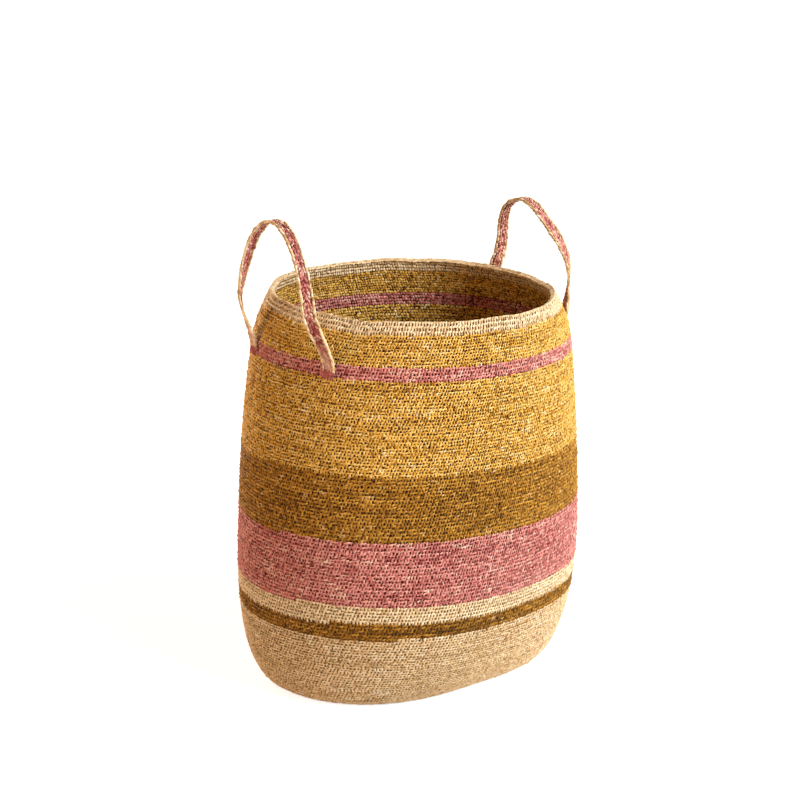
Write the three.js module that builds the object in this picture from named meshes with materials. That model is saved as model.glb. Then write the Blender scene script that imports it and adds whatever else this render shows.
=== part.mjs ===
// Corn husk basket: an oval base and a bulging wall crocheted in rounds from dyed husk yarn,
// with two crocheted strap handles sewn to the outside of the wall below the rim.
// Millimetres, +Z up. The origin is the middle of the underside, the handles stand at the two ends
// of the X axis, and -Y is the front.
import * as THREE from "three";

// Outline of the body, outside of the wall
const baseHalfLength = 152; // flat underside, along X
const baseHalfWidth = 103; // flat underside, along Y
const bellyHalfLength = 188; // widest part of the wall
const bellyHalfWidth = 158.5;
const bellyHeight = 129; // height of the widest part
const shoulderHalfLength = 158.5; // where the wall would end without its rolled-in rim
const shoulderHalfWidth = 154.5;
const rimRadius = 144.5;
const rimRollHeight = 52; // the wall starts to roll in this far below the top
const heelAlong = { rise: 1.65, fullness: 3 }; // tight heel at the ends of the oval
const heelAcross = { rise: 2.1, fullness: 1.5 }; // soft heel at the long sides
const wallThickness = 5;
const rimCrown = 2; // height of the rounded top edge

// Heights of the colour bands, from the floor upwards
const naturalHeight = 82;
const brownLineHeight = 16;
const creamLineHeight = 18;
const roseHeight = 67;
const oliveHeight = 66.5;
const mustardHeight = 95.5;
const roseLineHeight = 14.5;
const collarHeight = 29;
const rimHeight = 11.5;
const roundGap = 0.3; // play between one yarn's last round and the next yarn's first

// Strap handles
const edgingWidth = 2.8; // one row of cream yarn along each side of a strap
const roseRowsWidth = 8.4; // three rows of rose yarn between them
const rowGap = 0.3; // play between the rows of a strap
const strapThickness = 4;
const roseRowsThickness = 3.6; // the rose rows lie a little lower than the edging
const edgingRound = 0.9; // corners of the edging
const roseRowsRound = 0.5; // corners of the rose rows
const strapEndThickness = 3; // drawn thin by the stitches
const strapEndLength = 3; // over which it thins
const strapClearance = 0.2; // play between a strap's end and the wall, at the strap's middle
const handleEndAngle = 20.3; // degrees from the X axis to the middle of each sewn end
const strapEndTurn = 14; // degrees that a sewn end is turned towards the wall
const handleSeatDrop = 10.5; // a strap's end sits this far below the top of the rose line
const leanHeight = 63; // height over which a strap swings out from the wall
const leftHandle = { rise: 140, lean: 21, topLean: 20.5 };
const rightHandle = { rise: 126, lean: 11.5, topLean: -7 };

// Rose yarn that sews each strap's end to the wall, drawn tight into one ridge of stitches
const stitchHeight = 4;
const stitchThickness = 2;
const stitchRound = 0.7; // corners of the ridge
const stitchGap = 0.3; // play between the yarn and the wall
const stitchDrop = 3; // room below a strap's end for it to tip inwards

// Husk yarn colours
const natural = 0xd9b386;
const cream = 0xe6c898;
const brown = 0x8a5a1c;
const rose = 0xb9606a;
const mustard = 0xc8963f;
const huskRoughness = 0.85;

// Fineness of the facets
const bodySegments = 60;
const heelCrowding = 2.2; // above 1, the heel's facets crowd towards the floor
const slopeStep = 0.01;
const archSteps = 12;
const stitchSteps = 6;

// The yarns of the wall, one on top of the other
const bands = [
  { name: "natural_wall", height: naturalHeight, colour: natural, facets: 6 },
  { name: "brown_line", height: brownLineHeight, colour: brown, facets: 1 },
  { name: "cream_line", height: creamLineHeight, colour: cream, facets: 1 },
  { name: "rose_band", height: roseHeight, colour: rose, facets: 2 },
  { name: "olive_band", height: oliveHeight, colour: brown, facets: 2 },
  { name: "mustard_band", height: mustardHeight, colour: mustard, facets: 3 },
  { name: "rose_line", height: roseLineHeight, colour: rose, facets: 1 },
  { name: "mustard_collar", height: collarHeight, colour: mustard, facets: 2 },
  { name: "cream_rim", height: rimHeight, colour: cream, facets: 2 },
];
const bandBottom = (index) => bands.slice(0, index).reduce((sum, band) => sum + band.height, 0);
const bodyHeight = bandBottom(bands.length);
const roseLineTop = bodyHeight - rimHeight - collarHeight;

const basket = new THREE.Group();

function addPiece(parent, name, geometry, colour) {
  const material = new THREE.MeshStandardMaterial({ color: colour, roughness: huskRoughness, metalness: 0 });
  const mesh = new THREE.Mesh(geometry, material);
  mesh.name = name;
  parent.add(mesh);
}

// Share of the way out from the flat base to the belly, for a share of the belly's height.
function heel(share, { rise, fullness }) {
  return (1 - (1 - share) ** rise) ** (1 / fullness);
}

// Half the body's size at a height, in one direction, from its base, belly and shoulder.
function halfSizeAt(height, base, belly, shoulder, heelShape) {
  if (height <= bellyHeight) {
    return base + (belly - base) * heel(height / bellyHeight, heelShape);
  }
  const climb = (height - bellyHeight) / (bodyHeight - bellyHeight);
  const roll = Math.max(0, 1 - (bodyHeight - height) / rimRollHeight);
  return belly - (belly - shoulder) * climb ** 2 - (shoulder - rimRadius) * roll ** 2;
}

// Distance from the Z axis to the outside of the wall: an oval that turns round towards the rim.
function wallRadius(angle, height) {
  const halfLength = halfSizeAt(height, baseHalfLength, bellyHalfLength, shoulderHalfLength, heelAlong);
  const halfWidth = halfSizeAt(height, baseHalfWidth, bellyHalfWidth, shoulderHalfWidth, heelAcross);
  return (halfLength + halfWidth) / 2 + ((halfLength - halfWidth) / 2) * Math.cos(2 * angle);
}

// A point at a depth inside the wall, measured square to its outside.
function wallPoint(angle, height, depth) {
  const radius = wallRadius(angle, height);
  const slope = (wallRadius(angle, height + slopeStep) - radius) / slopeStep;
  const length = Math.hypot(1, slope);
  const inner = radius - depth / length;
  const level = height + (depth * slope) / length;
  return new THREE.Vector3(inner * Math.cos(angle), inner * Math.sin(angle), level);
}

// A closed skin over rings of points. The row of rings closes on itself, or its ends get caps.
function loft(rings, closed) {
  const sides = rings[0].length;
  const index = [];
  const spans = closed ? rings.length : rings.length - 1;
  for (let i = 0; i < spans; i++) {
    const here = i * sides;
    const next = ((i + 1) % rings.length) * sides;
    for (let j = 0; j < sides; j++) {
      const k = (j + 1) % sides;
      index.push(here + j, here + k, next + k, here + j, next + k, next + j);
    }
  }
  if (!closed) {
    const last = (rings.length - 1) * sides;
    for (let j = 1; j < sides - 1; j++) {
      index.push(0, j + 1, j, last, last + j, last + j + 1);
    }
  }
  const positions = rings.flat().flatMap((point) => point.toArray());
  const geometry = new THREE.BufferGeometry();
  geometry.setAttribute("position", new THREE.Float32BufferAttribute(positions, 3));
  geometry.setIndex(index);
  return geometry;
}

// One yarn's rounds of the wall. The heel starts on the floor, and the rim has a rounded top.
function bandGeometry(index) {
  const isHeel = index === 0;
  const isRim = index === bands.length - 1;
  const low = isHeel ? 0 : bandBottom(index) + roundGap / 2;
  const high = bandBottom(index + 1) - (isRim ? rimCrown : roundGap / 2);
  const crowding = isHeel ? heelCrowding : 1;
  const { facets } = bands[index];
  const heights = Array.from({ length: facets + 1 }, (_, i) => low + (high - low) * (i / facets) ** crowding);
  const rings = [];
  for (let i = 0; i < bodySegments; i++) {
    const angle = (2 * Math.PI * i) / bodySegments;
    const inside = heights.map((height) => wallPoint(angle, height, wallThickness));
    const outside = heights.map((height) => wallPoint(angle, height, 0)).reverse();
    const top = wallPoint(angle, high, wallThickness / 2);
    top.z = bodyHeight;
    rings.push(isRim ? [...inside, top, ...outside] : [...inside, ...outside]);
  }
  return loft(rings, true);
}

// Flat oval base, crocheted in rounds about a straight foundation row. Its edge follows the heel's.
function baseGeometry() {
  const ring = (depth, height) =>
    Array.from({ length: bodySegments }, (_, i) => {
      const angle = (2 * Math.PI * i) / bodySegments;
      const { x, y } = wallPoint(angle, 0, depth);
      const radius = Math.hypot(x, y) - roundGap;
      return new THREE.Vector3(radius * Math.cos(angle), radius * Math.sin(angle), height);
    });
  return loft([ring(0, 0), ring(wallThickness, wallThickness)], false);
}

addPiece(basket, "oval_base", baseGeometry(), natural);
bands.forEach(({ name, colour }, index) => addPiece(basket, name, bandGeometry(index), colour));

// Where the middle of a strap's sewn end lies, for a handle at the +X end of the basket
const strapWidth = roseRowsWidth + 2 * edgingWidth;
const endAngle = THREE.MathUtils.degToRad(handleEndAngle);
const endTurn = THREE.MathUtils.degToRad(strapEndTurn);
const seatHeight = roseLineTop - handleSeatDrop;
const seatRadius = wallRadius(endAngle, seatHeight);
const seatStandOff = strapClearance + strapEndThickness / 2 + (strapWidth / 2) * Math.sin(endAngle - endTurn);
const endRadius = seatRadius + seatStandOff;
const strapEnd = new THREE.Vector3(Math.cos(endAngle), Math.sin(endAngle), 0);
strapEnd.multiplyScalar(endRadius).setZ(seatHeight);

// Middle line of a strap from its -Y end up, over and down, with the share of its twist at each point.
// It is half an ellipse that leans out from the wall.
function strapLine({ rise, lean, topLean }) {
  const turns = [0, Math.asin(strapEndLength / rise)];
  for (let i = 1; i <= archSteps; i++) {
    turns.push((Math.PI / 2) * (i / archSteps));
  }
  const half = turns.map((turn) => {
    const height = rise * Math.sin(turn);
    const out = lean * THREE.MathUtils.smoothstep(height, 0, leanHeight);
    const back = (lean - topLean) * THREE.MathUtils.smoothstep(height, leanHeight, rise);
    const spread = -strapEnd.y * Math.cos(turn);
    const point = new THREE.Vector3(strapEnd.x + out - back, spread, strapEnd.z + height);
    return { point, twist: height / rise };
  });
  const otherHalf = half.slice(0, -1).reverse();
  return [...half, ...otherHalf.map(({ point, twist }) => ({ point: point.clone().setY(-point.y), twist }))];
}

// Section of one or several rows of a strap, or of a ridge of stitches, centred, with cut corners.
function rowSection(width, thickness, round) {
  const x = width / 2;
  const y = thickness / 2;
  const corners = [[x - round, y], [x, y - round], [x, round - y], [x - round, -y]];
  const mirrored = corners.map(([across, through]) => [-across, through]).reverse();
  return [...corners, ...mirrored];
}

// Rows of a strap, swept along its line. The strap lies against the wall at its ends, and twists
// until its width points at the middle of the basket on top.
function strapGeometry(handle, offset, width, thickness, round) {
  const line = strapLine(handle);
  const lastIndex = line.length - 1;
  const section = rowSection(width, thickness, round);
  const rings = line.map(({ point, twist }, i) => {
    const isEnd = i === 0 || i === lastIndex;
    const before = line[Math.max(i - 1, 0)].point;
    const after = line[Math.min(i + 1, lastIndex)].point;
    const along = after.clone().sub(before).normalize();
    const turn = endTurn + (Math.PI / 2 - endTurn) * twist;
    const away = i < lastIndex / 2 ? -1 : 1;
    const across = new THREE.Vector3(-Math.sin(turn), away * Math.cos(turn), 0);
    across.addScaledVector(along, -across.dot(along)).normalize();
    const through = new THREE.Vector3().crossVectors(across, along);
    const thinning = isEnd ? strapEndThickness / strapThickness : 1;
    return section.map(([a, t]) =>
      point.clone().addScaledVector(across, offset + a).addScaledVector(through, t * thinning),
    );
  });
  return loft(rings, false);
}

// Ridge of rose yarn along the wall just below a strap's end. side is -1 or 1 along Y.
function stitchGeometry(side) {
  const middle = seatHeight - stitchDrop - stitchHeight / 2;
  const standOff = stitchGap + stitchThickness / 2;
  const section = rowSection(stitchHeight, stitchThickness, stitchRound);
  const rings = Array.from({ length: stitchSteps + 1 }, (_, i) => {
    const angle = side * endAngle + (strapWidth * (0.5 - i / stitchSteps)) / seatRadius;
    return section.map(([up, out]) => wallPoint(angle, middle + up, -(standOff + out)));
  });
  return loft(rings, false);
}

// A handle is made at the +X end. The left one is turned half round, together with its stitches.
function addHandle(side, handle, halfTurns) {
  const group = new THREE.Group();
  group.rotation.z = Math.PI * halfTurns;
  const edgingOffset = (roseRowsWidth + edgingWidth) / 2;
  const edging = (offset) => strapGeometry(handle, offset, edgingWidth - rowGap, strapThickness, edgingRound);
  const roseRows = strapGeometry(handle, 0, roseRowsWidth - rowGap, roseRowsThickness, roseRowsRound);
  const frontSide = halfTurns === 0 ? -1 : 1;
  addPiece(group, `${side}_handle_rose_rows`, roseRows, rose);
  addPiece(group, `${side}_handle_inner_edging`, edging(edgingOffset), cream);
  addPiece(group, `${side}_handle_outer_edging`, edging(-edgingOffset), cream);
  addPiece(group, `${side}_handle_front_stitches`, stitchGeometry(frontSide), rose);
  addPiece(group, `${side}_handle_rear_stitches`, stitchGeometry(-frontSide), rose);
  basket.add(group);
}

addHandle("right", rightHandle, 0);
addHandle("left", leftHandle, 1);

export default basket;
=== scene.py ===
import math

import bmesh
import bpy
import numpy as np
from mathutils import Matrix, Vector


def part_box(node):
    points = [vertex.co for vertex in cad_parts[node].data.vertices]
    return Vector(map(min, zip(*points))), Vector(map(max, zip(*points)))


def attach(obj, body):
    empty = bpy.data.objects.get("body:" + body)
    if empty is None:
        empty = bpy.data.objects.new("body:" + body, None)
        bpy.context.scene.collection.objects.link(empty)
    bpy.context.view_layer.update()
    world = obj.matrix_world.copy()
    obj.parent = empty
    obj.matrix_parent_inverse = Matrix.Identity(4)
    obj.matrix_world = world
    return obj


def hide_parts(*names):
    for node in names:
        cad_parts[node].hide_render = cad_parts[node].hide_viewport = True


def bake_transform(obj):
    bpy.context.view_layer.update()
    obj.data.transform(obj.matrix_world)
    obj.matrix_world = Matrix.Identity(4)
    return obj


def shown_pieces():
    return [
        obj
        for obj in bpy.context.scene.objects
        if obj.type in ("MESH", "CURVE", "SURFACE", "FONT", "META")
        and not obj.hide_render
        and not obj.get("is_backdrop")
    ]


# Corn husk basket, crocheted in one long spiral.
# Lengths below are millimetres and angles are degrees, unless a name or a comment says otherwise.
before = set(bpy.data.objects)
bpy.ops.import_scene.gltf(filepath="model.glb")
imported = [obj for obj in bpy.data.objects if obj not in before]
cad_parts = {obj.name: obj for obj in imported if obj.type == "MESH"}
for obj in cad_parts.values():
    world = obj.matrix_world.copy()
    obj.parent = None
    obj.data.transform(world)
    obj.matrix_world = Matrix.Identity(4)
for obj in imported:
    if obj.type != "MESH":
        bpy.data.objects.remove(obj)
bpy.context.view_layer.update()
mm = 0.001
fullTurn = 2 * math.pi
draw = np.random.default_rng(11)
print("frame loaded:", len(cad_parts), "solids")


# Outline of the body, the same as the solids have
body = {
    "along": {"base": 152, "belly": 188, "shoulder": 158.5, "rise": 1.65, "fullness": 3},
    "across": {"base": 103, "belly": 158.5, "shoulder": 154.5, "rise": 2.1, "fullness": 1.5},
    "bellyHeight": 129,
    "height": 400,
    "rimRadius": 144.5,
    "rimRollHeight": 52,
    "wall": 5,
    "slopeStep": 0.01,
    "levels": 3000,
    "heelHeight": 40,  # the unevenness of the wall fades out below this
}


def smoothstep(value, low, high):
    share = np.clip((value - low) / (high - low), 0, 1)
    return share * share * (3 - 2 * share)


def halfSizeAt(height, way):
    share = np.clip(height / body["bellyHeight"], 0, 1)
    heel = (1 - (1 - share) ** way["rise"]) ** (1 / way["fullness"])
    low = way["base"] + (way["belly"] - way["base"]) * heel
    climb = (height - body["bellyHeight"]) / (body["height"] - body["bellyHeight"])
    roll = np.maximum(0, 1 - (body["height"] - height) / body["rimRollHeight"])
    high = way["belly"] - (way["belly"] - way["shoulder"]) * climb**2
    high = high - (way["shoulder"] - body["rimRadius"]) * roll**2
    return np.where(height < body["bellyHeight"], low, high)


def wallRadius(angle, height):
    halfLength = halfSizeAt(height, body["along"])
    halfWidth = halfSizeAt(height, body["across"])
    return (halfLength + halfWidth) / 2 + (halfLength - halfWidth) / 2 * np.cos(2 * angle)


def wallPoint(angle, height, depth):
    # depth is measured square to the outside of the wall
    radius = wallRadius(angle, height)
    slope = (wallRadius(angle, height + body["slopeStep"]) - radius) / body["slopeStep"]
    length = np.hypot(1, slope)
    inner = radius - depth / length
    level = height + depth * slope / length
    return np.stack([inner * np.cos(angle), inner * np.sin(angle), level], -1)


# Climb along the wall, so that rounds are evenly spaced over the heel too
levels = np.linspace(0, body["height"], body["levels"])
meanRadius = (halfSizeAt(levels, body["along"]) + halfSizeAt(levels, body["across"])) / 2
climbs = np.concatenate([[0], np.cumsum(np.hypot(np.diff(levels), np.diff(meanRadius)))])


# The rounds of each yarn, from the floor up. A yarn ends where its last part of a round leaves off, so the
# colours change on a jog. The odd parts of a column set each round's stitches off from those below it.
# A tall band is split into pieces of equal height.
bands = {
    "natural_wall": {
        "yarn": "natural", "rounds": 31.5, "columns": 292.4, "split": 3,
        "pale": 0.04, "tone": 0, "looseness": 0.7,
    },
    "brown_line": {
        "yarn": "olive", "rounds": 4.06, "columns": 312.4, "split": 1,
        "pale": 0.02, "tone": -0.16, "looseness": 0.8,
    },
    "cream_line": {
        "yarn": "cream", "rounds": 5.03, "columns": 318.4, "split": 1,
        "pale": 0.04, "tone": 0, "looseness": 0.65,
    },
    "rose_band": {
        "yarn": "rose", "rounds": 18.02, "columns": 340.4, "split": 2,
        "pale": 0.09, "tone": 0, "looseness": 0.85,
    },
    "olive_band": {
        "yarn": "olive", "rounds": 18.02, "columns": 342.4, "split": 2,
        "pale": 0.03, "tone": 0, "looseness": 0.85,
    },
    "mustard_band": {
        "yarn": "mustard", "rounds": 29.53, "columns": 335.4, "split": 3,
        "pale": 0.04, "tone": 0, "looseness": 0.85,
    },
    "rose_line": {
        "yarn": "rose", "rounds": 4.02, "columns": 335.4, "split": 1,
        "pale": 0.12, "tone": 0, "looseness": 0.85,
    },
    "mustard_collar": {
        "yarn": "mustard", "rounds": 9.52, "columns": 338.4, "split": 1,
        "pale": 0.04, "tone": 0, "looseness": 0.85,
    },
    "cream_rim": {
        "yarn": "cream", "rounds": 4.1, "columns": 322.4, "split": 1,
        "pale": 0.04, "tone": 0, "looseness": 0.65,
    },
}
spiral = {
    "start": -135, "ripple": 0.9, "dip": 1.8, "dipAngle": -149, "dipSpread": 7, "wave": 0.3,
    # lobes round the wall, the rise that moves them on by one radian, where they start in radians, and share
    "ripples": ((3, 61, 0, 1), (5, -43, 1, 0.7), (2, 97, 2, 0.5)),
    # lobes round the rim, and where they start in radians
    "rimWaves": ((7, 0), (11, 2), (16, 4)),
}
spiralStart = math.radians(spiral["start"])
spiralTurns = np.concatenate([[0], np.cumsum([band["rounds"] for band in bands.values()])])
# half a turn early, so that a jog lies half a round above and half a round below its seam
bandEnds = np.concatenate([[0], spiralTurns[1:-1] - 0.5, [spiralTurns[-1] - 1]])
seams = [0] + [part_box(node)[0][2] / mm for node in list(bands)[1:]] + [body["height"]]
spiralClimbs = np.interp(seams, levels, climbs)


def ripple(angle, height):
    # hand-made unevenness of the wall
    wave = 0
    for lobes, rise, start, share in spiral["ripples"]:
        wave = wave + share * np.sin(lobes * angle + height / rise + start)
    return spiral["ripple"] * wave * smoothstep(height, 0, body["heelHeight"])


def rimWave(angle, height):
    # the top edge sags where the last stitch was fastened off, and wavers all round
    away = np.angle(np.exp(1j * (angle - math.radians(spiral["dipAngle"]))))
    dip = spiral["dip"] * np.exp(-((away / math.radians(spiral["dipSpread"])) ** 2))
    wave = spiral["wave"] * sum(np.sin(lobes * angle + start) for lobes, start in spiral["rimWaves"])
    return (wave - dip) * smoothstep(height, body["height"] - body["rimRollHeight"], body["height"])


def layOnWall(angle, turn, depth):
    height = np.interp(np.interp(turn, spiralTurns, spiralClimbs), climbs, levels)
    place = wallPoint(angle, height, depth - ripple(angle, height))
    place[:, 2] = np.maximum(place[:, 2] + rimWave(angle, height), 0)
    return place


def linear(hexColour):
    channels = [int(hexColour[i : i + 2], 16) / 255 for i in (1, 3, 5)]
    return [c / 12.92 if c <= 0.04045 else ((c + 0.055) / 1.055) ** 2.4 for c in channels] + [1]


def addNode(tree, kind, inputs=None, **settings):
    node = tree.nodes.new(kind)
    for key, value in settings.items():
        setattr(node, key, value)
    for socket, value in (inputs or {}).items():
        if isinstance(value, bpy.types.NodeSocket):
            tree.links.new(value, node.inputs[socket])
        else:
            node.inputs[socket].default_value = value
    return node


# Husk yarn: strips of dry corn husk, dyed in the skein and twisted by hand. It is matt with a faint
# gloss on the smooth side of a strip and uneven in colour along its length. Its darkest colour is painted
# shade, which the strand between the stitches takes to stand for the shadow in the pinholes.
# each yarn's first colour is painted shade, the shadow in the pinholes, and the rest are its own colours
yarns = {
    "natural": {"pinholeShade": "#7c5426", "deep": "#b48a52", "mid": "#e6c694", "light": "#f9e6c2", "pale": "#fdf1d8"},
    "cream": {"pinholeShade": "#8c6438", "deep": "#c8a572", "mid": "#f1d6aa", "light": "#fdeecb", "pale": "#fff4da"},
    "olive": {"pinholeShade": "#2c1000", "deep": "#643e0a", "mid": "#aa7522", "light": "#d6a446", "pale": "#e8c68a"},
    "rose": {"pinholeShade": "#5c0e0a", "deep": "#9a4240", "mid": "#d4847c", "light": "#f1b3a7", "pale": "#f8d3bd"},
    "mustard": {"pinholeShade": "#4a2202", "deep": "#9c640c", "mid": "#e5b24a", "light": "#f8d888", "pale": "#fdebbe"},
}
yarnFinish = {
    "fibre": 0.9, "fibreDetail": 3.0, "fibreRoughness": 0.6, "mottle": 0.26, "bump": 0.25, "bumpDepth": 0.3,
    "roughness": 0.55, "specular": 0.1, "sheen": 0.3, "sheenRoughness": 0.5,
}
# the lowest stop is painted shade for the pinholes; the others run through the yarn's own colours
shadeStops = {"pinholeShade": 0.06, "deep": 0.3, "mid": 0.5, "light": 0.74}  # tone 1 is the yarn's middle colour


def huskYarn(yarn):
    material = bpy.data.materials.new(f"twisted_corn_husk_{yarn}")
    material.use_nodes = True
    tree = material.node_tree
    shader = tree.nodes["Principled BSDF"]
    noise = {
        "Vector": addNode(tree, "ShaderNodeTexCoord").outputs["Object"],
        "Scale": 1 / (yarnFinish["fibre"] * mm),
        "Detail": yarnFinish["fibreDetail"],
        "Roughness": yarnFinish["fibreRoughness"],
    }
    fibre = addNode(tree, "ShaderNodeTexNoise", noise).outputs[0]
    tone = addNode(tree, "ShaderNodeAttribute", attribute_name="tone").outputs["Fac"]
    fleck = addNode(tree, "ShaderNodeAttribute", attribute_name="fleck").outputs["Fac"]
    spread = {0: fibre, 1: yarnFinish["mottle"], 2: -yarnFinish["mottle"] / 2}
    mottle = addNode(tree, "ShaderNodeMath", spread, operation="MULTIPLY_ADD").outputs[0]
    centred = {0: tone, 1: shadeStops["mid"], 2: mottle}
    shade = addNode(tree, "ShaderNodeMath", centred, operation="MULTIPLY_ADD").outputs[0]
    ramp = addNode(tree, "ShaderNodeValToRGB", {0: shade})
    stops = ramp.color_ramp.elements
    stops.remove(stops[1])
    for name, position in shadeStops.items():
        stop = stops[0] if name == "pinholeShade" else stops.new(position)
        stop.position = position
        stop.color = linear(yarns[yarn][name])
    undyed = {0: fleck, 6: ramp.outputs[0], 7: linear(yarns[yarn]["pale"])}
    colour = addNode(tree, "ShaderNodeMix", undyed, data_type="RGBA").outputs[2]
    grain = {"Height": fibre, "Strength": yarnFinish["bump"], "Distance": yarnFinish["bumpDepth"] * mm}
    bump = addNode(tree, "ShaderNodeBump", grain).outputs[0]
    tree.links.new(colour, shader.inputs["Base Color"])
    tree.links.new(bump, shader.inputs["Normal"])
    shader.inputs["Roughness"].default_value = yarnFinish["roughness"]
    shader.inputs["Specular IOR Level"].default_value = yarnFinish["specular"]
    shader.inputs["Sheen Weight"].default_value = yarnFinish["sheen"]
    shader.inputs["Sheen Roughness"].default_value = yarnFinish["sheenRoughness"]
    shader.inputs["Sheen Tint"].default_value = linear(yarns[yarn]["pale"])
    return material


materials = {yarn: huskYarn(yarn) for yarn in yarns}
print("yarns dyed:", ", ".join(materials))


def takeMesh(bm, name):
    mesh = bpy.data.meshes.new(name)
    bm.to_mesh(mesh)
    bm.free()
    return mesh


def readPoints(mesh):
    points = np.empty(len(mesh.vertices) * 3, np.float32)
    mesh.vertices.foreach_get("co", points)
    return points.reshape(-1, 3).astype(float)


def setPoints(mesh, points):
    mesh.vertices.foreach_set("co", (points * mm).astype(np.float32).ravel())
    mesh.update()


def setAttribute(mesh, name, values):
    layer = mesh.attributes.get(name) or mesh.attributes.new(name, "FLOAT", "POINT")
    layer.data.foreach_set("value", np.asarray(values, np.float32))


def modified(mesh, kind, **settings):
    maker = bpy.data.objects.new("maker", mesh)
    bpy.context.scene.collection.objects.link(maker)
    modifier = maker.modifiers.new("make", kind)
    for key, value in settings.items():
        setattr(modifier, key, value)
    made = bpy.data.meshes.new_from_object(maker.evaluated_get(bpy.context.evaluated_depsgraph_get()))
    bpy.data.objects.remove(maker)
    return made


def closeMesh(mesh, sides):
    bm = bmesh.new()
    bm.from_mesh(mesh)
    bmesh.ops.holes_fill(bm, edges=bm.edges[:], sides=sides)
    bmesh.ops.recalc_face_normals(bm, faces=bm.faces[:])
    bm.to_mesh(mesh)
    bm.free()


def joinMeshes(meshes):
    bm = bmesh.new()
    for mesh in meshes:
        bm.from_mesh(mesh)
    whole = meshes[0]
    bm.to_mesh(whole)
    bm.free()
    return whole


def rotate(bm, verts, angle, axis):
    bmesh.ops.rotate(bm, matrix=Matrix.Rotation(angle, 3, axis), verts=verts)


# Stitches are laid up from beads of yarn. x is a share of the stitch's width, y of the round's height and
# z of the yarn's thickness. A bead with no sides named is round, and a turn or dip that isn't named is 0.
# The gaps between the posts are the pinholes of the work.
stitches = {
    "single": {
        # the loop's raised tone is a painted highlight, and the post's lowered tone is painted shade
        "loop": {"size": (1.35, 0.52, 1), "place": (0, 0.27, 0), "tone": 0.08, "turn": 16, "dip": 8},
        "post": {"size": (0.84, 1.5, 1), "place": (0, -0.2, -0.12), "tone": -0.08, "turn": -5, "sides": 4},
        "inside": {"size": (1.22, 1.12, 1), "place": (0, 0.4, -2.7), "tone": 0, "turn": 8, "sides": 6},
    },
    "braid": {
        "left": {"size": (1.25, 0.29, 1), "place": (0, 0.29, 0.5), "tone": 0.08, "turn": 10},
        "right": {"size": (1.25, 0.29, 1), "place": (0, -0.29, 0.5), "tone": 0.08, "turn": -10},
        "spine": {"size": (1.3, 0.22, 1), "place": (0.5, 0, 0.4), "tone": -0.25},
        # the core's low tone is painted shade, which shows between the beads like the strand in the wall's
        # pinholes
        "core": {"size": (2.4, 1.24, 0.5), "place": (0, 0, 0), "tone": -0.75, "sides": 6},
    },
    "cord": {
        # the cord's lowered tone is painted shade, laid on the strap's edging and on the rim and foundation
        # chains alike
        "front": {"size": (2, 0.64, 1), "place": (0, 0.2, 0), "tone": -0.12, "turn": 17},
        "back": {"size": (2, 0.64, 1), "place": (0.5, -0.2, 0), "tone": -0.12, "turn": 17},
    },
}
beadForm = {"radius": 0.5, "rings": 2, "subdivisions": 1}  # one unit across before it gets its size
lay = {"depth": 0.75, "thickness": 1.3}  # how far the middle of a loop lies below the outside, and its yarn


def onRear(bead):
    x, y, z = bead["place"]
    return {**bead, "place": (x, y, -z)}


# the braid shows the same on both faces of its core
braid = stitches["braid"]
braid.update({f"{name}Rear": onRear(braid[name]) for name in ("left", "right", "spine")})


def addBead(bm, bead):
    radius = beadForm["radius"]
    if "sides" in bead:
        form = {"u_segments": bead["sides"], "v_segments": beadForm["rings"], "radius": radius}
        verts = bmesh.ops.create_uvsphere(bm, **form)["verts"]
        rotate(bm, verts, math.pi / bead["sides"], "Z")
    else:
        form = {"subdivisions": beadForm["subdivisions"], "radius": radius}
        verts = bmesh.ops.create_icosphere(bm, **form)["verts"]
        rotate(bm, verts, math.pi / 2, "Y")
    bmesh.ops.scale(bm, vec=bead["size"], verts=verts)
    rotate(bm, verts, math.radians(bead.get("dip", 0)), "Y")
    rotate(bm, verts, math.radians(bead.get("turn", 0)), "Z")
    bmesh.ops.translate(bm, vec=bead["place"], verts=verts)
    return len(verts)


def makeStitch(kind):
    beads = stitches[kind]
    bm = bmesh.new()
    sizes = [addBead(bm, bead) for bead in beads.values()]
    mesh = takeMesh(bm, f"{kind}_stitch")
    owner = np.repeat(np.arange(len(sizes)), sizes)
    points = readPoints(mesh)[:, :2]
    low = np.array([points[owner == i].min(0) for i in range(len(sizes))])
    high = np.array([points[owner == i].max(0) for i in range(len(sizes))])
    return {
        "mesh": mesh,
        "owner": owner,
        "beads": len(sizes),
        "tones": [bead["tone"] for bead in beads.values()],
        "flecks": [name != "core" for name in beads],
        "places": np.array([bead["place"] for bead in beads.values()]),
        "flat": (points - low[owner]) / (high - low)[owner],
    }


# How uneven the hand and the yarn are. The last five are shares of a bead, a stitch, a round or the yarn.
# the strand's tone among these is no unevenness: it is the painted shade of the pinholes
hand = {
    "tone": 0.2, "streak": 0.09, "streakStitches": 14, "pinholeShadeTone": 0.05,
    "patchStitches": 3, "patchRounds": 1.3, "inPatch": 0.6, "outside": 0.2, "fleck": 0.85, "faintest": 0.3,
    "swell": 0.15, "shift": 0.11, "rise": 0.11, "lean": 0.2, "lift": 0.14,
}
kinds = {kind: makeStitch(kind) for kind in stitches}
margin = 0.08  # round each bead's square of the colour map


def mapSquares(mesh, square, flat, squares):
    side = math.ceil(math.sqrt(squares))
    corners = np.empty(len(mesh.loops), np.int32)
    mesh.loops.foreach_get("vertex_index", corners)
    spot = np.stack([square % side, square // side], -1) + margin + (1 - 2 * margin) * flat
    layer = mesh.uv_layers.new(name="OFBake")
    layer.data.foreach_set("uv", (spot / side)[corners].astype(np.float32).ravel())


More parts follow.
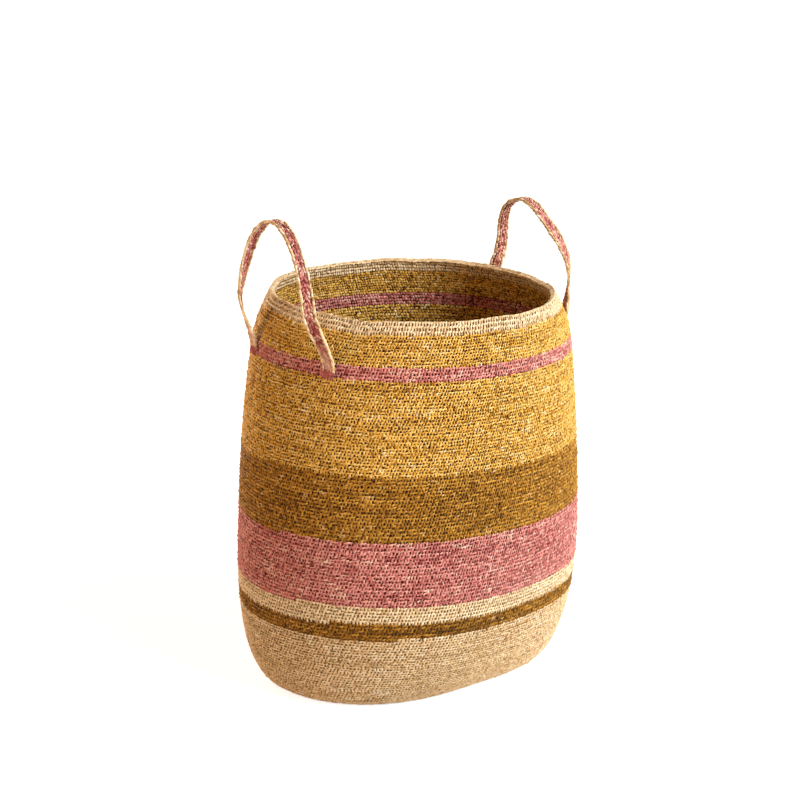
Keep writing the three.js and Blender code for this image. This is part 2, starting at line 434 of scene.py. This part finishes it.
def patches(count, columns, share):
    # true for the stitches in the undyed spots of the yarn, which run on from round to round
    across = np.arange(count) % columns / hand["patchStitches"]
    up = np.arange(count) / columns / hand["patchRounds"]
    knots = draw.normal(0, 1, (int(up[-1]) + 2, int(columns / hand["patchStitches"]) + 2))
    i, j = up.astype(int), across.astype(int)
    u, v = up - i, across - j
    low = knots[i, j] * (1 - v) + knots[i, j + 1] * v
    high = knots[i + 1, j] * (1 - v) + knots[i + 1, j + 1] * v
    height = low * (1 - u) + high * u
    return height > np.quantile(height, 1 - share)


def dyeStitches(mesh, made, count, columns, look, bead):
    beads = count * made["beads"]
    knots = draw.normal(0, hand["streak"], count // hand["streakStitches"] + 2)
    streak = np.interp(np.arange(count) / hand["streakStitches"], np.arange(len(knots)), knots)
    # each bead's own tone adds a painted highlight on loops and painted shade on posts, cords and the braid's
    # core, on top of the yarn's real unevenness
    tone = 1 + look["tone"] + np.repeat(streak, made["beads"]) + np.tile(made["tones"], count)
    tone += draw.normal(0, hand["tone"], beads)
    setAttribute(mesh, "tone", tone[bead])
    spotted = patches(count, columns, look["pale"])
    chance = np.where(spotted, hand["inPatch"], hand["outside"] * look["pale"])
    pale = draw.random(beads) < np.repeat(chance, made["beads"]) * np.tile(made["flecks"], count)
    fleck = pale * draw.uniform(hand["faintest"], 1, beads) * hand["fleck"]
    setAttribute(mesh, "fleck", fleck[bead])


def loosened(points, made, count, looseness, bead):
    def uneven(way):
        return draw.normal(0, hand[way] * looseness, count * made["beads"])[bead]

    middles = np.tile(made["places"][made["owner"]], (count, 1))
    loose = middles + (points - middles) * (1 + uneven("swell"))[:, None]
    loose[:, 0] += uneven("shift")
    loose[:, 0] += uneven("lean") * (points - middles)[:, 1]
    loose[:, 1] += uneven("rise")
    loose[:, 2] += uneven("lift")
    return loose


def makeStitches(kind, count, columns, look, first=0, spare=0):
    # count loose stitches, still at the origin: their mesh, their points and the stitch each belongs to
    made = kinds[kind]
    mesh = modified(made["mesh"], "ARRAY", count=count, use_relative_offset=False)
    index = np.repeat(np.arange(count), len(made["owner"]))
    bead = index * made["beads"] + np.tile(made["owner"], count)
    squares = first + count * made["beads"] + spare
    mapSquares(mesh, first + bead, np.tile(made["flat"], (count, 1)), squares)
    dyeStitches(mesh, made, count, columns, look, bead)
    return mesh, loosened(readPoints(mesh), made, count, look["looseness"], bead), index


def depthOf(points):
    return lay["depth"] - points[:, 2] * lay["thickness"]


# The husk strand that each round is worked over. It lies between the two faces of the fabric, and its colour
# is painted shade: it takes the darkest stop of the yarn, so that it shows as the shadow in the pinholes.
strand = {
    "sides": 4, "height": 1.35, "thickness": 2.2, "depth": 2.5, "steps": 110, "drum": 100, "belowRim": 0.6,
}


def windStrand(turns, squares):
    # wound on a drum: z counts the turns and the radius holds the depth until it is laid
    bm = bmesh.new()
    section = bmesh.ops.create_circle(bm, segments=strand["sides"], radius=0.5)["verts"]
    rotate(bm, section, math.pi / 2, "X")
    bmesh.ops.scale(bm, vec=(strand["thickness"], 1, strand["height"]), verts=section)
    bmesh.ops.translate(bm, vec=(strand["drum"], 0, 0), verts=section)
    profile = takeMesh(bm, "strand_section")
    steps = round(turns * strand["steps"])
    winding = {"angle": -fullTurn * turns, "screw_offset": turns, "steps": steps, "render_steps": steps}
    mesh = modified(profile, "SCREW", **winding)
    closeMesh(mesh, strand["sides"])
    points = readPoints(mesh)
    # all of it is one colour, so its faces share the last square of the colour map
    order = np.arange(len(points))
    flat = np.stack([order // strand["sides"] % 2, order % 2], -1)
    mapSquares(mesh, np.full(len(points), squares - 1), flat, squares)
    # the strand's one colour is painted shade for the pinholes
    setAttribute(mesh, "tone", np.full(len(points), hand["pinholeShadeTone"]))
    setAttribute(mesh, "fleck", np.zeros(len(points)))
    angle = np.arctan2(points[:, 1], points[:, 0])
    depth = strand["depth"] + strand["drum"] - np.hypot(points[:, 0], points[:, 1])
    return mesh, angle, points[:, 2], depth


def addPiece(name, mesh, yarn, nodes, bodyName=None):
    mesh.name = name
    mesh.materials.append(materials[yarn])
    mesh.shade_smooth()
    piece = bpy.data.objects.new(name, mesh)
    bpy.context.scene.collection.objects.link(piece)
    if bodyName:
        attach(piece, bodyName)
    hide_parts(*nodes)
    return piece


def stretchToRim(stitchTurn, turn):
    # the rounds of the rim are worked taller where the spiral hasn't climbed all the way to the top
    low, top = spiralTurns[-2:]
    missing = np.maximum(top - 1 - stitchTurn, 0) % 1
    return np.where(turn > low, low + (turn - low) * (top - low) / (top - missing - low), turn)


def crochetWall(node, name, first, last):
    band = bands[node]
    count = round((last - first) * band["columns"])
    beads = count * kinds["single"]["beads"]
    rimCount = round(band["columns"]) if node == "cream_rim" else 0
    squares = beads + rimCount * kinds["cord"]["beads"] + 1
    mesh, points, index = makeStitches("single", count, band["columns"], band, 0, squares - beads)
    turn = first + (index + 0.5 - points[:, 0]) / band["columns"]
    rise = stretchToRim(first + (index + 0.5) / band["columns"], turn + points[:, 1] + 0.5)
    setPoints(mesh, layOnWall(spiralStart - fullTurn * turn, rise, depthOf(points)))
    core, angle, coreTurn, coreDepth = windStrand(last - first, squares)
    coreTurn = np.minimum(first + coreTurn + 0.5, spiralTurns[-1] - strand["belowRim"])
    setPoints(core, layOnWall(spiralStart - fullTurn * first + angle, coreTurn, coreDepth))
    meshes = [mesh, core]
    if rimCount:
        meshes.append(crochetRimChain(band, rimCount, beads))
    addPiece(name, joinMeshes(meshes), band["yarn"], [node], "basket")


def crochetRimChain(band, count, firstSquare):
    # the last chain lies flat on the top edge
    mesh, points, index = makeStitches("cord", count, count, band, firstSquare, 1)
    angle = -fullTurn * (index + points[:, 0]) / count
    depth = (0.5 - points[:, 1]) * body["wall"]
    place = layOnWall(angle, np.full(len(points), spiralTurns[-1]), depth)
    place[:, 2] += points[:, 2] * lay["thickness"] - lay["depth"]
    setPoints(mesh, place)
    return mesh


for i, (node, band) in enumerate(bands.items()):
    ends = np.linspace(bandEnds[i], bandEnds[i + 1], band["split"] + 1)
    for part in range(band["split"]):
        name = node if band["split"] == 1 else f"{node}_{part + 1}"
        crochetWall(node, name, ends[part], ends[part + 1])
    print("crocheted:", node)


# Flat oval base. The spiral of the wall goes on over its edge and inwards to a straight foundation chain.
base = {
    "columnWidth": 3.7, "roundHeight": 3.6, "chainColumn": 4, "chainWidth": 6, "chainThickness": 2.2,
    "pale": 0.04, "tone": 0, "looseness": 0.7,
}
base["rounds"] = body["across"]["base"] / base["roundHeight"]
base["foundation"] = body["along"]["base"] - body["across"]["base"]


def layOnFloor(angle, turn, depth):
    # turns are counted inwards from the edge, and below 0 they lie on the wall
    inset = np.clip(turn / base["rounds"], 0, 1)
    edge = wallPoint(angle, np.zeros(len(angle)), 0)
    x = (1 - inset) * edge[:, 0] + inset * base["foundation"] * np.cos(angle)
    flat = np.stack([x, (1 - inset) * edge[:, 1], np.maximum(depth, 0)], -1)
    return np.where(turn[:, None] < 0, layOnWall(angle, np.maximum(-turn, 0), depth), flat)


def ovalLength(along, across):
    # Ramanujan's estimate, from the two half sizes
    return math.pi * (3 * (along + across) - math.sqrt((3 * along + across) * (along + 3 * across)))


def crochetBase():
    outer = ovalLength(body["along"]["base"], body["across"]["base"])
    shrink = fullTurn * base["roundHeight"]
    overEdge = outer + shrink / 2  # the round that turns up into the wall
    longest = outer * base["rounds"] - shrink * base["rounds"] ** 2 / 2
    count = int((overEdge + longest) / base["columnWidth"])
    chain = round(2 * base["foundation"] / base["chainColumn"])
    beads = count * kinds["single"]["beads"]
    squares = beads + chain * kinds["cord"]["beads"] + 1
    columns = outer / base["columnWidth"]
    mesh, points, index = makeStitches("single", count, columns, base, 0, squares - beads)
    length = np.minimum((index + 0.5 + points[:, 0]) * base["columnWidth"] - overEdge, longest)
    # turns that a length of yarn has made when each round is shorter than the last
    turn = (outer - np.sqrt(np.maximum(outer**2 - 2 * shrink * length, 0))) / shrink
    setPoints(mesh, layOnFloor(spiralStart + fullTurn * turn, turn - points[:, 1] + 0.5, depthOf(points)))
    core, angle, coreTurn, coreDepth = windStrand(base["rounds"] + 1, squares)
    setPoints(core, layOnFloor(spiralStart - angle, coreTurn - 0.5, coreDepth))
    foundation, points, index = makeStitches("cord", chain, chain, base, beads, 1)
    x = ((index + 0.5 + points[:, 0]) / chain * 2 - 1) * base["foundation"]
    up = body["wall"] / 2 + points[:, 2] * base["chainThickness"]
    setPoints(foundation, np.stack([x, points[:, 1] * base["chainWidth"], up], -1))
    addPiece("oval_base", joinMeshes([mesh, core, foundation]), "natural", ["oval_base"], "basket")


crochetBase()
print("crocheted: oval_base")


# Strap handles. The cream edging is a cord along each side, with the braid of the three rose rows between.
# The yarn of the rows is left undyed towards both ends.
strap = {
    "width": 14, "thickness": 4, "endThickness": 3, "endLength": 3, "steps": 241, "twistHeight": 0.85,
    "column": 3.4, "roseWidth": 8.8, "roseThickness": 1.3,
    "cordColumn": 4, "cordThickness": 2.9, "edging": 2.8,
    "endAngle": 20.3, "endTurn": 14, "clearance": 0.2, "seat": 349, "leanHeight": 63,
    "bendFrom": 350, "bendTo": 372, "undyedFrom": 8, "undyedTo": 32, "undyed": 0.7,
    "pale": 0.5, "tone": -0.12, "looseness": 0.6,
}
handles = {
    "left": {"rise": 140, "lean": 21, "topLean": 20.5, "half": -1},
    "right": {"rise": 126, "lean": 11.5, "topLean": -7, "half": 1},
}


def strapLine(handle):
    endAngle, endTurn = math.radians(strap["endAngle"]), math.radians(strap["endTurn"])
    tilt = strap["width"] / 2 * math.sin(endAngle - endTurn)
    standOff = strap["clearance"] + strap["endThickness"] / 2 + tilt
    radius = float(wallRadius(endAngle, np.array(strap["seat"]))) + standOff
    turn = np.linspace(0, math.pi, strap["steps"])
    height = handle["rise"] * np.sin(turn)
    out = handle["lean"] * smoothstep(height, 0, strap["leanHeight"])
    back = (handle["lean"] - handle["topLean"]) * smoothstep(height, strap["leanHeight"], handle["rise"])
    x = radius * math.cos(endAngle) + out - back
    y = -radius * math.sin(endAngle) * np.cos(turn)
    points = np.stack([x, y, strap["seat"] + height], -1)
    along = np.gradient(points, axis=0)
    along /= np.linalg.norm(along, axis=1)[:, None]
    twist = endTurn + (math.pi / 2 - endTurn) * smoothstep(height, 0, strap["twistHeight"] * handle["rise"])
    away = np.where(turn < math.pi / 2, -1, 1)
    across = np.stack([-np.sin(twist), away * np.cos(twist), 0 * turn], -1)
    across -= np.sum(across * along, 1)[:, None] * along
    across /= np.linalg.norm(across, axis=1)[:, None]
    runs = np.concatenate([[0], np.cumsum(np.linalg.norm(np.diff(points, axis=0), axis=1))])
    return {"points": points, "across": across, "through": np.cross(across, along), "runs": runs}


def layOnStrap(line, half, run, across, through):
    runs = line["runs"]
    run = np.clip(run, 0, runs[-1])
    ending = np.clip(np.minimum(run, runs[-1] - run) / strap["endLength"], 0, 1)
    thin = strap["endThickness"] / strap["thickness"]
    through = through * (thin + (1 - thin) * ending)
    middle, sideways, square = (
        np.stack([np.interp(run, runs, line[key][:, i]) for i in range(3)], -1)
        for key in ("points", "across", "through")
    )
    place = middle + sideways * across[:, None] + square * through[:, None]
    place[:, :2] *= half
    return place


def makeStrapRow(side, kind, column):
    # loose stitches for the whole length of a strap, its line, and how far along it each point lies
    line = strapLine(handles[side])
    length = line["runs"][-1]
    count = round(length / column)
    mesh, points, index = makeStitches(kind, count, count, strap)
    run = (index + 0.5 + points[:, 0]) / count * length
    return mesh, points, line, run


def addStrapPiece(side, rows, mesh, yarn):
    name = f"{side}_handle_{rows}"
    piece = addPiece(name, mesh, yarn, [name])
    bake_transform(piece)


def crochetEdging(side, rows, way):
    mesh, points, line, run = makeStrapRow(side, "cord", strap["cordColumn"])
    across = way * ((strap["width"] - strap["edging"]) / 2 + points[:, 2] * strap["edging"])
    through = way * points[:, 1] * strap["cordThickness"]
    setPoints(mesh, layOnStrap(line, handles[side]["half"], run, across, through))
    addStrapPiece(side, rows, mesh, "cream")


def crochetRoseRows(side):
    mesh, points, line, run = makeStrapRow(side, "braid", strap["column"])
    across = points[:, 1] * strap["roseWidth"]
    through = -points[:, 2] * strap["roseThickness"]
    setPoints(mesh, layOnStrap(line, handles[side]["half"], run, across, through))
    fleck = np.empty(len(points), np.float32)
    mesh.attributes["fleck"].data.foreach_get("value", fleck)
    toEnd = np.minimum(run, line["runs"][-1] - run)
    undyed = strap["undyed"] * (1 - smoothstep(toEnd, strap["undyedFrom"], strap["undyedTo"]))
    setAttribute(mesh, "fleck", np.maximum(fleck, undyed))
    addStrapPiece(side, "rose_rows", mesh, "rose")


for side in handles:
    crochetEdging(side, "inner_edging", 1)
    crochetEdging(side, "outer_edging", -1)
    crochetRoseRows(side)
    print("crocheted:", side, "handle")


# Whip stitches: loops of rose yarn from the wall over each strap's end
whip = {
    "loops": 5, "yarn": 1.6, "reach": 4.2, "tall": 4.8, "middle": 347.5, "spread": 13, "sides": 6, "steps": 9,
    "slant": 1.2, "tone": 0.72, "unevenness": 0.12,
}


def makeLoops():
    # half rings side by side, standing on the plane z = 0
    bm = bmesh.new()
    for i in range(whip["loops"]):
        start = len(bm.verts)
        section = bmesh.ops.create_circle(bm, segments=whip["sides"], radius=whip["yarn"] / 2)["verts"]
        bmesh.ops.translate(bm, vec=(0, -whip["reach"], 0), verts=section)
        edges = list(dict.fromkeys(edge for vert in section for edge in vert.link_edges))
        bmesh.ops.spin(bm, geom=section + edges, axis=(-1, 0, 0), angle=math.pi, steps=whip["steps"])
        bm.verts.ensure_lookup_table()
        loop = bm.verts[start:]
        share = (i + 0.5) / whip["loops"] - 0.5
        bmesh.ops.scale(bm, vec=(1, whip["tall"] / whip["reach"], 1), verts=loop)
        bmesh.ops.translate(bm, vec=(share * whip["spread"], 0, 0), verts=loop)
    mesh = takeMesh(bm, "whip")
    closeMesh(mesh, whip["sides"])
    return mesh


def sewStrapEnd(side, end):
    mesh = makeLoops()
    points = readPoints(mesh)
    middle = math.radians(strap["endAngle"]) * (-1 if (end == "front") == (side == "right") else 1)
    radius = float(wallRadius(middle, np.array(whip["middle"])))
    slanted = points[:, 0] + whip["slant"] * points[:, 1] / whip["tall"]
    place = wallPoint(middle + slanted / radius, whip["middle"] + points[:, 1], -points[:, 2])
    place[:, :2] *= handles[side]["half"]
    setPoints(mesh, place)
    setAttribute(mesh, "tone", draw.normal(whip["tone"], whip["unevenness"], len(points)))
    setAttribute(mesh, "fleck", np.zeros(len(points)))
    name = f"{side}_handle_{end}_stitches"
    addPiece(name, mesh, "rose", [name], "basket")


for side in handles:
    for end in ("front", "rear"):
        sewStrapEnd(side, end)
print("handles sewn on")


# Camera at the photograph's place. Side, focal length and centre are pixels, and the sensor is millimetres.
view = {
    "target": (0, 0, 200), "azimuth": -41.83, "elevation": 17.38, "distance": 2392.7, "roll": 1.25,
    "side": 800, "focal": 2300, "centre": (409.32, 476.05), "sensor": 36,
}


def direction(azimuth, elevation):
    # azimuth 0 looks at the front from low y, and 90 at the side from high x
    turn, lift = math.radians(azimuth), math.radians(elevation)
    return Vector((math.sin(turn) * math.cos(lift), -math.cos(turn) * math.cos(lift), math.sin(lift)))


def addCamera():
    back = direction(view["azimuth"], view["elevation"])
    data = bpy.data.cameras.new("camera")
    data.sensor_width = view["sensor"]
    data.lens = view["focal"] / view["side"] * view["sensor"]
    data.shift_x = (view["side"] / 2 - view["centre"][0]) / view["side"]
    data.shift_y = (view["centre"][1] - view["side"] / 2) / view["side"]
    camera = bpy.data.objects.new("camera", data)
    camera.location = (Vector(view["target"]) + back * view["distance"]) * mm
    aim = (-back).to_track_quat("-Z", "Y").to_matrix() @ Matrix.Rotation(math.radians(view["roll"]), 3, "Z")
    camera.rotation_mode = "QUATERNION"
    camera.rotation_quaternion = aim.to_quaternion()
    bpy.context.scene.collection.objects.link(camera)
    bpy.context.scene.camera = camera


addCamera()

# Studio: white floor and background, a soft key at the front right, a warm fill at the left and a low lamp
# behind. Azimuths are counted as the camera's is. Distances and sizes are metres, and powers are watts.
lights = {
    "key": {"azimuth": 18, "elevation": 36, "distance": 2.1, "size": 1.2, "power": 60, "tint": "#ffffff"},
    "fill": {"azimuth": -105, "elevation": 14, "distance": 1.9, "size": 0.9, "power": 12, "tint": "#ffd0a0"},
    "back": {"azimuth": 168, "elevation": 4, "distance": 2.1, "size": 0.8, "power": 30, "tint": "#fff4e6"},
}
# wallTop and ceiling are the rise of a ray, which is 0 for a level one and 1 for one straight up
studio = {
    "ambient": "#ffc594", "ambientStrength": 0.56, "ceilingStrength": 0.14, "wallTop": -0.1, "ceiling": 0.4,
    "floor": "#f4f4f2", "floorRoughness": 0.9, "floorSize": 12, "floorCells": 4,
    "floorGlow": 0.8, "shadowReach": 0.4, "whiteFrom": 1.2,
}
white = (1, 1, 1, 1)


def addLights():
    for name, light in lights.items():
        data = bpy.data.lights.new(name, "AREA")
        data.energy = light["power"]
        data.size = light["size"]
        data.color = linear(light["tint"])[:3]
        away = direction(light["azimuth"], light["elevation"])
        lamp = bpy.data.objects.new(name, data)
        lamp.location = away * light["distance"] + Vector((0, 0, body["height"] / 2 * mm))
        lamp.rotation_euler = (-away).to_track_quat("-Z", "Y").to_euler()
        bpy.context.scene.collection.objects.link(lamp)


def seenDirectly(tree):
    # 1 for rays that show the background itself, straight or in a reflection
    path = addNode(tree, "ShaderNodeLightPath").outputs
    seen = path["Is Camera Ray"]
    for ray in ("Is Glossy Ray", "Is Transmission Ray"):
        seen = addNode(tree, "ShaderNodeMath", {0: seen, 1: path[ray]}, operation="MAXIMUM").outputs[0]
    return seen


def fade(tree, value, span, results, **settings):
    inputs = dict(enumerate((value, *span, *results)))
    return addNode(tree, "ShaderNodeMapRange", inputs, **settings).outputs[0]


def addWorld():
    world = bpy.data.worlds.new("studio")
    world.use_nodes = True
    bpy.context.scene.world = world
    tree = world.node_tree
    background = tree.nodes["Background"]
    seen = seenDirectly(tree)
    # the light comes from pale walls all round, under a darker ceiling
    ray = addNode(tree, "ShaderNodeTexCoord").outputs["Generated"]
    rise = addNode(tree, "ShaderNodeSeparateXYZ", {0: ray}).outputs["Z"]
    strengths = (studio["ambientStrength"], studio["ceilingStrength"])
    span = (studio["wallTop"], studio["ceiling"])
    ambient = fade(tree, rise, span, strengths, interpolation_type="SMOOTHSTEP")
    strength = addNode(tree, "ShaderNodeMix", {0: seen, 2: ambient, 3: 1.0}, data_type="FLOAT")
    tint = {0: seen, 6: linear(studio["ambient"]), 7: white}
    colour = addNode(tree, "ShaderNodeMix", tint, data_type="RGBA")
    tree.links.new(strength.outputs[0], background.inputs["Strength"])
    tree.links.new(colour.outputs[2], background.inputs["Color"])


# Painted floor: matt white, which shows a soft shadow round the basket and runs into the background
def paintedFloor():
    material = bpy.data.materials.new("painted_studio_floor")
    material.use_nodes = True
    tree = material.node_tree
    shader = tree.nodes["Principled BSDF"]
    shader.inputs["Base Color"].default_value = linear(studio["floor"])
    shader.inputs["Roughness"].default_value = studio["floorRoughness"]
    shader.inputs["Specular IOR Level"].default_value = 0
    shader.inputs["Emission Color"].default_value = white
    # the floor brightens to the white of the background away from the basket and its shadow
    place = addNode(tree, "ShaderNodeTexCoord").outputs["Object"]
    away = addNode(tree, "ShaderNodeVectorMath", {0: place}, operation="LENGTH").outputs["Value"]
    nearGlow = fade(tree, away, (studio["shadowReach"], studio["whiteFrom"]), (studio["floorGlow"], 1.0))
    glowing = {0: seenDirectly(tree), 1: nearGlow}
    glow = addNode(tree, "ShaderNodeMath", glowing, operation="MULTIPLY")
    tree.links.new(glow.outputs[0], shader.inputs["Emission Strength"])
    return material


def addFloor():
    bm = bmesh.new()
    cells = studio["floorCells"]
    bmesh.ops.create_grid(bm, x_segments=cells, y_segments=cells, size=studio["floorSize"] / 2)
    mesh = takeMesh(bm, "floor")
    floor = bpy.data.objects.new("floor", mesh)
    bpy.context.scene.collection.objects.link(floor)
    mesh.materials.append(paintedFloor())
    floor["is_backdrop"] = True


addLights()
addWorld()
addFloor()
bpy.context.scene.view_settings.view_transform = "Standard"
print("studio lit")

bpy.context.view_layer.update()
triangles = {
    piece.name: sum(len(face.vertices) - 2 for face in piece.data.polygons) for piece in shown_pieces()
}
print("pieces:", len(triangles), "triangles:", sum(triangles.values()), "most:", max(triangles.values()))
